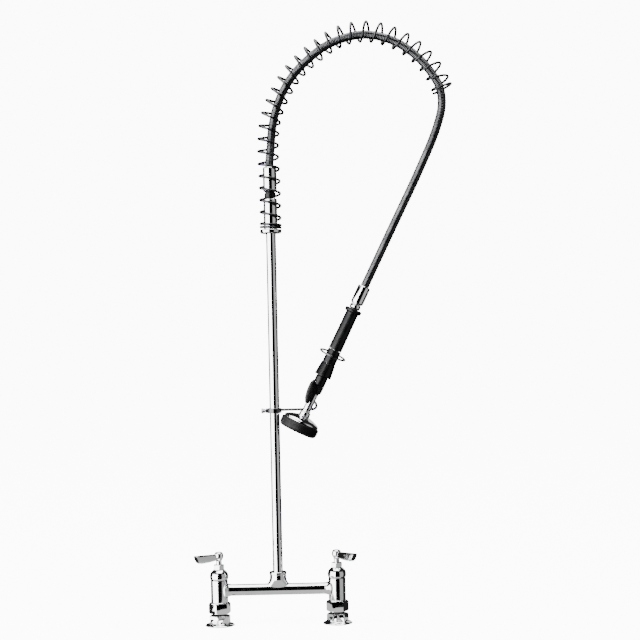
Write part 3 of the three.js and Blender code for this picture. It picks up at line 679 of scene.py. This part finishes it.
make_riser()
make_hook()


# ---------------------------------------------------------------- handle
RING_R = 22.5
RING_WIRE_R = 1.72
RING_EYE = (0, 0.2, -130.1)
LEVER_PIN = (-8.2, 184.5)  # x, and the distance down the handle
PLUNGER_DOWN = 199.0


def on_handle(made):
    """Moves a piece from the handle's own axes to its place."""
    return place(made, HANDLE_FRAME)


def handle_ring(name, points, material, slot, body, *nodes, soft=0.35, angle=28):
    """A ring turned about the handle's axis, placed and dressed."""
    made = on_handle(turned(name, down(points), soft=soft, closed=True))
    return dress(made, material, slot, body, *nodes, angle=angle)


def make_grip():
    """The hose's ferrule, the swivel nut and the long grip."""
    handle_ring("handle_crimp", [(3.6, 0.4), (10.2, 0.4), (11, 1.6), (11, 30.8), (10.4, 32), (8.7, 33.2),
                                 (8.6, 34), (6.6, 34), (6.6, 39), (7.3, 39), (7.3, 41), (3.6, 41)],
                CHROME, "chrome", "hose_end", "hose_ferrule_handle", soft=0.3)
    handle_ring("swivel", [(6.9, 34.4), (8.2, 34.4), (9, 35.3), (9.45, 36.8), (9.5, 38.4), (9.45, 40.2),
                           (9, 41.6), (8.3, 42.6), (7.7, 42.6), (7.7, 38.6), (6.9, 38.6)],
                CHROME, "chrome", "spray_handle", "swivel_nut", soft=0.3)
    handle_ring("grip_sleeve", [(7.7, 43), (13.2, 43), (14.3, 43.6), (14.75, 45), (14.75, 47.4),
                                (14.3, 48.9), (13.2, 49.8), (11.9, 50.2), (11.2, 51), (11.05, 53),
                                (11.2, 70), (11.45, 95), (11.75, 118), (11.6, 120.4), (11.2, 121),
                                (7.7, 121)],
                GRIP_BLACK, "black_plastic", "spray_handle", "grip", soft=0.5)


def make_lower_handle():
    """The sleeve whose eye holds the wire ring, the flared guard under it, and the ring."""
    sleeve = turned("sleeve", down([(7.7, 121.4), (11.1, 121.4), (11.6, 122.6), (11.6, 146.7), (7.7, 146.7)]),
                    soft=0.3, closed=True)
    eye = soften(block("eye", -3.2, 3.2, 9, 25.6, -131, -123), 0.8)
    combine(eye, turned("bore", [(0, -150), (8.6, -150), (8.6, -110), (0, -110)], soft=0.05), "DIFFERENCE")
    combine(eye, block("slot", -10, 10, 20.1, 24.9, -129.4, -124.6), "DIFFERENCE")
    combine(sleeve, eye, "UNION")
    sleeve.name = "sleeve_with_eye"
    dress(on_handle(sleeve), BODY_BLACK, "black_plastic", "spray_handle", "ring_sleeve")
    handle_ring("guard", [(7.7, 147), (12, 147), (12.5, 147.6), (12.8, 150), (14.5, 167), (14.85, 169.8),
                          (14.6, 170.9), (13.9, 171), (7.7, 171)],
                BODY_BLACK, "black_plastic", "spray_handle", "hand_guard", soft=0.3)
    rings = []
    sides, wire_sides = 120, 20
    up = Vector((0, 0, 1))
    for k in range(sides):
        a = 2 * math.pi * k / sides
        out = Vector((math.cos(a), math.sin(a), 0))
        rings.append([tuple(out * (RING_R + RING_WIRE_R * math.cos(b)) + up * (RING_WIRE_R * math.sin(b)))
                      for b in (2 * math.pi * j / wire_sides for j in range(wire_sides))])
    wire = rings_to_mesh("wire_ring", rings, loop=True)
    place(wire, Matrix.Translation(RING_EYE) @ Matrix.Rotation(math.radians(8), 4, "X"))
    # The hold ring wears the darkened copy of the chrome, with shade painted into its colour.
    dress(on_handle(wire), CHROME_PAINTED_SHADE, "chrome", "ring", "hold_ring", angle=60)


def at_plunger(name, points, soft=0.1, closed=False):
    """A piece turned about the plunger, which lies along the handle's own X axis."""
    made = turned(name, points, soft=soft, sides=36, closed=closed)
    made.data.transform(Matrix.Rotation(math.pi / 2, 4, "Y"))
    made.data.transform(Matrix.Translation((0, 0, -PLUNGER_DOWN * MM)))
    return made


def at_pin(name, radius, half):
    """A rod through the lever's pin hole, along the handle's own Y axis."""
    made = turned(name, [(0, -half), (radius, -half), (radius, half), (0, half)], soft=0.15, sides=32)
    made.data.transform(Matrix.Rotation(math.pi / 2, 4, "X"))
    made.data.transform(Matrix.Translation((LEVER_PIN[0] * MM, 0, -LEVER_PIN[1] * MM)))
    return made


def make_valve_body():
    """The valve's housing with its pocket for the lever, and the pin, plunger and gland in it."""
    body = turned("valve", down([(0, 160.4), (7.3, 160.4), (7.3, 171.4), (9.8, 171.4), (10.4, 172.2),
                                 (10.5, 174), (10.5, 198.6), (10.1, 200.4), (9.1, 202), (7.8, 203.2),
                                 (7.3, 204.2), (7.3, 206.4), (0, 206.4)]), soft=0.4)
    combine(body, block("pocket", -20, -6.5, -20, 20, -203.5, -181), "DIFFERENCE")
    for y0, y1 in ((CHEEK_INNER - GAP, 20), (-20, GAP - CHEEK_INNER)):
        combine(body, block("flat_side", -20, 20, y0, y1, -206, -186.5), "DIFFERENCE")
    combine(body, soften(block("lug", -10.3, -6, -3, 3, -187.9, -180), 0.5), "UNION")
    combine(body, at_plunger("port", [(0, -9), (3.2, -9), (3.2, -4), (0, -4)], soft=0.05), "DIFFERENCE")
    combine(body, at_pin("pin_hole", 1.4, 12), "DIFFERENCE")
    body = soften(body, 0.3, angle=40)
    body.name = "valve_housing"
    dress(on_handle(body), BODY_BLACK, "black_plastic", "spray_handle", "valve_body")
    collar = turned("valve_collar", down([(7.33, 204.4), (7.5, 204.7), (7.5, 206.2), (7.33, 206.5)]),
                    soft=0.1, closed=True)
    dress(on_handle(collar), CHROME, "chrome", "spray_handle")
    pin = at_pin("trigger_pin", 1.1, 5.6)
    dress(on_handle(pin), STAINLESS, "stainless", "spray_handle", "lever_pin")
    button = at_plunger("push_rod", [(0, -10.3), (2, -10.3), (2.4, -9.9), (2.4, -9.1), (1.4, -9.1), (1.4, 1.5),
                                     (0, 1.5)])
    dress(on_handle(button), STAINLESS, "stainless", "plunger", "plunger")
    gland = at_plunger("push_gland", [(1.7, -7.7), (3.9, -7.7), (3.9, -6.8), (2.9, -6.8), (2.9, -5), (1.7, -5)],
                       closed=True)
    dress(on_handle(gland), BRASS, "brass", "spray_handle", "plunger_gland")


def make_trigger():
    """A channel with rounded corners: its web faces the riser and its cheeks pass beside the valve."""
    outline = down([(-10.2, 181.8), (-12.6, 184.4), (-14.4, 188), (-15, 193), (-15, 199), (-14.4, 206),
                    (-13.2, 213), (-11.8, 219), (-9.6, 223.6), (-7.4, 225), (-3.6, 224.4), (-2, 219),
                    (1, 212), (2.6, 206.5), (2, 201.5), (-1, 195), (-4.5, 190), (-7.2, 186.8), (-7.2, 181.8),
                    (-10.2, 181.8)])
    hollow = down([(-8.2, 178), (-8.2, 181.8), (-10.6, 184.9), (-12.4, 188.3), (-13, 193), (-13, 199),
                   (-12.4, 206), (-11.3, 212.5), (-10.6, 218), (-20, 218), (-20, 230), (10, 230), (10, 178),
                   (-8.2, 178)])
    # The web's long edges: towards each cheek's outside, at y, the web steps back by so much.
    edge = [(CHEEK_OUTER, 3.2), (8.95, 2.1), (8.4, 1.2), (7.6, 0.5), (6.4, 0)]
    web_from, web_depth = 7.5, 4
    sections = [[(x + back * min(max((-x - web_from) / web_depth, 0), 1), y, z)
                 for x, z in rounded(outline, 1.6)[:-1]]
                for y, back in [(-y, back) for y, back in edge] + edge[::-1]]
    paddle = rings_to_mesh("paddle", sections)
    inner = prism("inner", rounded(hollow, 0.8)[:-1], -CHEEK_INNER, CHEEK_INNER, axis="Y")
    combine(paddle, inner, "DIFFERENCE")
    pad = at_plunger("pad", [(0, -13.4), (2.8, -13.4), (2.8, -10.9), (2.5, -10.6), (0, -10.6)])
    combine(paddle, pad, "UNION")
    for y0, y1 in ((3.4, 5.6), (-5.6, -3.4)):
        combine(paddle, block("ear", -11.7, -6.9, y0, y1, -187.3, -182.2), "UNION")
    combine(paddle, block("fork", -30, -5, -3.3, 3.3, -188.4, -178), "DIFFERENCE")
    combine(paddle, at_pin("pin_hole", 1.3, 12), "DIFFERENCE")
    paddle = soften(paddle, 0.3, angle=50)
    paddle.name = "trigger_paddle"
    dress(on_handle(paddle), BODY_BLACK, "black_plastic", "trigger", "squeeze_lever", angle=35)


def make_spray_head():
    """The neck, the bell with its rubber bumper, and the drilled spray face with its screw."""
    handle_ring("neck", [(4.4, 206.8), (6.9, 206.8), (7.1, 207.2), (7.1, 225.6), (6.7, 226.1), (6.7, 226.9),
                         (7.1, 227.4), (7.1, 234.6), (4.4, 234.6)],
                CHROME, "chrome", "spray_handle", "spray_neck", soft=0.25)
    handle_ring("bell", [(4.4, 235.1), (7.1, 235.1), (7.35, 235.6), (7.35, 238.4), (8.8, 239.2),
                         (9.35, 240.4), (9.35, 245), (9.7, 246), (11.4, 246.9), (14.6, 247.8), (20, 249.5),
                         (25, 251.4), (28.8, 253.4), (30.8, 255), (31.5, 256.4), (31.5, 258.3), (28.6, 259),
                         (28.6, 268), (26.4, 268), (26.4, 258.8), (24, 255.6), (18.6, 252.6), (13, 250.6),
                         (8, 248.6), (4.4, 246)],
                CHROME, "chrome", "spray_handle", "spray_bell", soft=0.8)
    handle_ring("rubber_bumper", [(28.9, 259.8), (31.4, 259.1), (32.8, 259.2), (33.8, 260), (34.15, 261.4),
                                  (34.15, 268), (33.7, 270.6), (32.7, 273), (31, 274.9), (28.8, 275.8),
                                  (26.4, 276), (24.6, 276), (24.4, 273.6), (26.6, 273.6), (26.6, 268.6),
                                  (28.9, 268.6)],
                BUMPER_BLACK, "black_rubber", "spray_handle", "bumper", soft=0.6, angle=50)
    face = turned("face", down([(0, 270.6), (26.2, 270.6), (26.2, 273), (0, 273)]), soft=0.3)
    drills = []
    for row in range(4):
        count, radius = 6 + 4 * row, 6.5 + 5 * row
        for k in range(count):
            a = 2 * math.pi * k / count
            drills.append(turned("drill", down([(0, 268), (0.9, 268), (0.9, 272.3), (1.5, 273.2), (1.5, 275),
                                                (0, 275)]),
                                 x=radius * math.cos(a), y=radius * math.sin(a), soft=0.02, sides=14))
    first = drills[0]
    holes = bmesh.new()
    for drill in drills:
        holes.from_mesh(drill.data)
    holes.to_mesh(first.data)
    holes.free()
    for drill in drills[1:]:
        bpy.data.objects.remove(drill)
    combine(face, first, "DIFFERENCE")
    face.name = "spray_plate"
    dress(on_handle(face), STAINLESS, "stainless", "spray_handle", "spray_face")
    screw = turned("plate_screw", down([(0, 262), (1.8, 262), (1.8, 273.2), (3.5, 273.2), (3.6, 273.8),
                                        (3.1, 274.8), (2, 275.1), (0, 275.2)]), soft=0.2, sides=48)
    combine(screw, block("driver_slot", -5, 5, -0.45, 0.45, -277, -274.2), "DIFFERENCE")
    dress(on_handle(screw), STAINLESS, "stainless", "spray_handle", "face_screw")


make_grip()
make_lower_handle()
make_valve_body()
make_trigger()
make_spray_head()


# ---------------------------------------------------------------- carried-over CAD nodes
def dress_inner_nodes():
    """Pieces hidden inside keep their CAD mesh, with a material by the last word of their name."""
    kinds = {"washer": SEAL_BLACK, "seal": SEAL_BLACK, "disc": CERAMIC, "sleeve": BRASS, "screw": STAINLESS}
    replaced = {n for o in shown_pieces() for n in o.get("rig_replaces", [])}
    for name, node in frame["nodes"].items():
        if name in replaced:
            continue
        found = [m for word, m in kinds.items() if name.endswith(word)]
        node.data.materials.clear()
        node.data.materials.append(found[0] if found else STAINLESS)


dress_inner_nodes()


# ---------------------------------------------------------------- stage
PURE_WHITE = 11.0  # seen directly, this light shows as near white
STAGE_R = 29
TENT_LIGHT = 9.0
TENT_R = 3.3
TENT_FOOT = -1.6
TENT_TOP = 2.2


def glowing(name, strength):
    """A stage material that gives off an even light."""
    made, _, _, body, _ = shader(name, (0, 0, 0), 1.0)
    body.inputs["Specular IOR Level"].default_value = 0
    body.inputs["Emission Color"].default_value = (1, 1, 1, 1)
    body.inputs["Emission Strength"].default_value = strength
    return made


def stage_mesh(name, corners, faces, material):
    """A sheet of the studio round the object."""
    mesh = bpy.data.meshes.new(name)
    mesh.from_pydata([tuple(c) for c in corners], [], faces)
    mesh.materials.append(material)
    made = bpy.data.objects.new(name, mesh)
    bpy.context.scene.collection.objects.link(made)
    return made


def only_in_reflections(made):
    """A card that shiny surfaces mirror, and that neither lights nor hides anything."""
    made.visible_camera = False
    made.visible_diffuse = False
    made.visible_shadow = False
    made.visible_transmission = False


def curved_card(name, azimuths, low, high, brightness):
    """Part of a light tent round the object. Azimuth 0 is towards the camera, and grows towards +X."""
    steps = 12
    (low_a, low_b), (high_a, high_b) = azimuths
    corners = []
    for k in range(steps + 1):
        for z, a0, a1 in ((low, low_a, low_b), (high, high_a, high_b)):
            a = math.radians(a0 + (a1 - a0) * k / steps)
            corners.append((0.05 + TENT_R * math.sin(a), -TENT_R * math.cos(a), z))
    faces = [(2 * k, 2 * k + 2, 2 * k + 3, 2 * k + 1) for k in range(steps)]
    only_in_reflections(stage_mesh(name, corners, faces, glowing(name, brightness)))


def sheet(name, half, z, material):
    """A level square at a height."""
    corners = [(-half, -half, z), (half, -half, z), (half, half, z), (-half, half, z)]
    return stage_mesh(name, corners, [(0, 1, 2, 3)], material)


def make_stage():
    """A near-white floor and surround, with cards seen only in the chrome, and two soft lamps."""
    pale, _, _, body, _ = shader("floor", (0.9, 0.9, 0.9), 0.95)
    body.inputs["Specular IOR Level"].default_value = 0
    body.inputs["Emission Color"].default_value = (1, 1, 1, 1)
    body.inputs["Emission Strength"].default_value = PURE_WHITE
    floor = sheet("floor", STAGE_R + 1, -0.001, pale)
    floor.visible_glossy = floor.visible_diffuse = False
    backdrop = bpy.data.meshes.new("backdrop")
    b = bmesh.new()
    bmesh.ops.create_uvsphere(b, u_segments=48, v_segments=24, radius=STAGE_R)
    b.to_mesh(backdrop)
    b.free()
    backdrop.materials.append(glowing("backdrop", PURE_WHITE))
    dome = bpy.data.objects.new("backdrop", backdrop)
    bpy.context.scene.collection.objects.link(dome)
    dome.visible_glossy = dome.visible_diffuse = dome.visible_shadow = dome.visible_transmission = False
    only_in_reflections(sheet("floor_glow", 0.17, -0.004, glowing("floor_glow", 0.8)))
    curved_card("tent_left", ((-92, -22), (-92, -18)), TENT_FOOT, TENT_TOP, TENT_LIGHT)
    curved_card("tent_front", ((-22, 36), (-18, 36)), TENT_FOOT, 3.0, 0.0)
    curved_card("tent_right", ((36, 86), (36, 86)), TENT_FOOT, TENT_TOP, 0.55)
    curved_card("tent_back", ((152, 172), (152, 172)), TENT_FOOT, TENT_TOP, 1.2)
    only_in_reflections(sheet("tent_top", 1.6, 3.4, glowing("tent_top", TENT_LIGHT)))
    world = bpy.data.worlds.new("studio")
    world.use_nodes = True
    world.node_tree.nodes["Background"].inputs["Color"].default_value = (0.02, 0.02, 0.02, 1)
    world.node_tree.nodes["Background"].inputs["Strength"].default_value = 1.0
    bpy.context.scene.world = world
    for name, at, size, power in (("key", (-2.2, -1.6, 2.6), 1.8, 160), ("fill", (2.4, -1.0, 2.2), 1.6, 50)):
        data = bpy.data.lights.new(name, "AREA")
        data.size = size
        data.energy = power
        lamp = bpy.data.objects.new(name, data)
        bpy.context.scene.collection.objects.link(lamp)
        lamp.location = at
        lamp.rotation_euler = (Vector((0.1, 0, 0.5)) - Vector(at)).to_track_quat("-Z", "Y").to_euler()
        lamp.visible_glossy = False


make_stage()
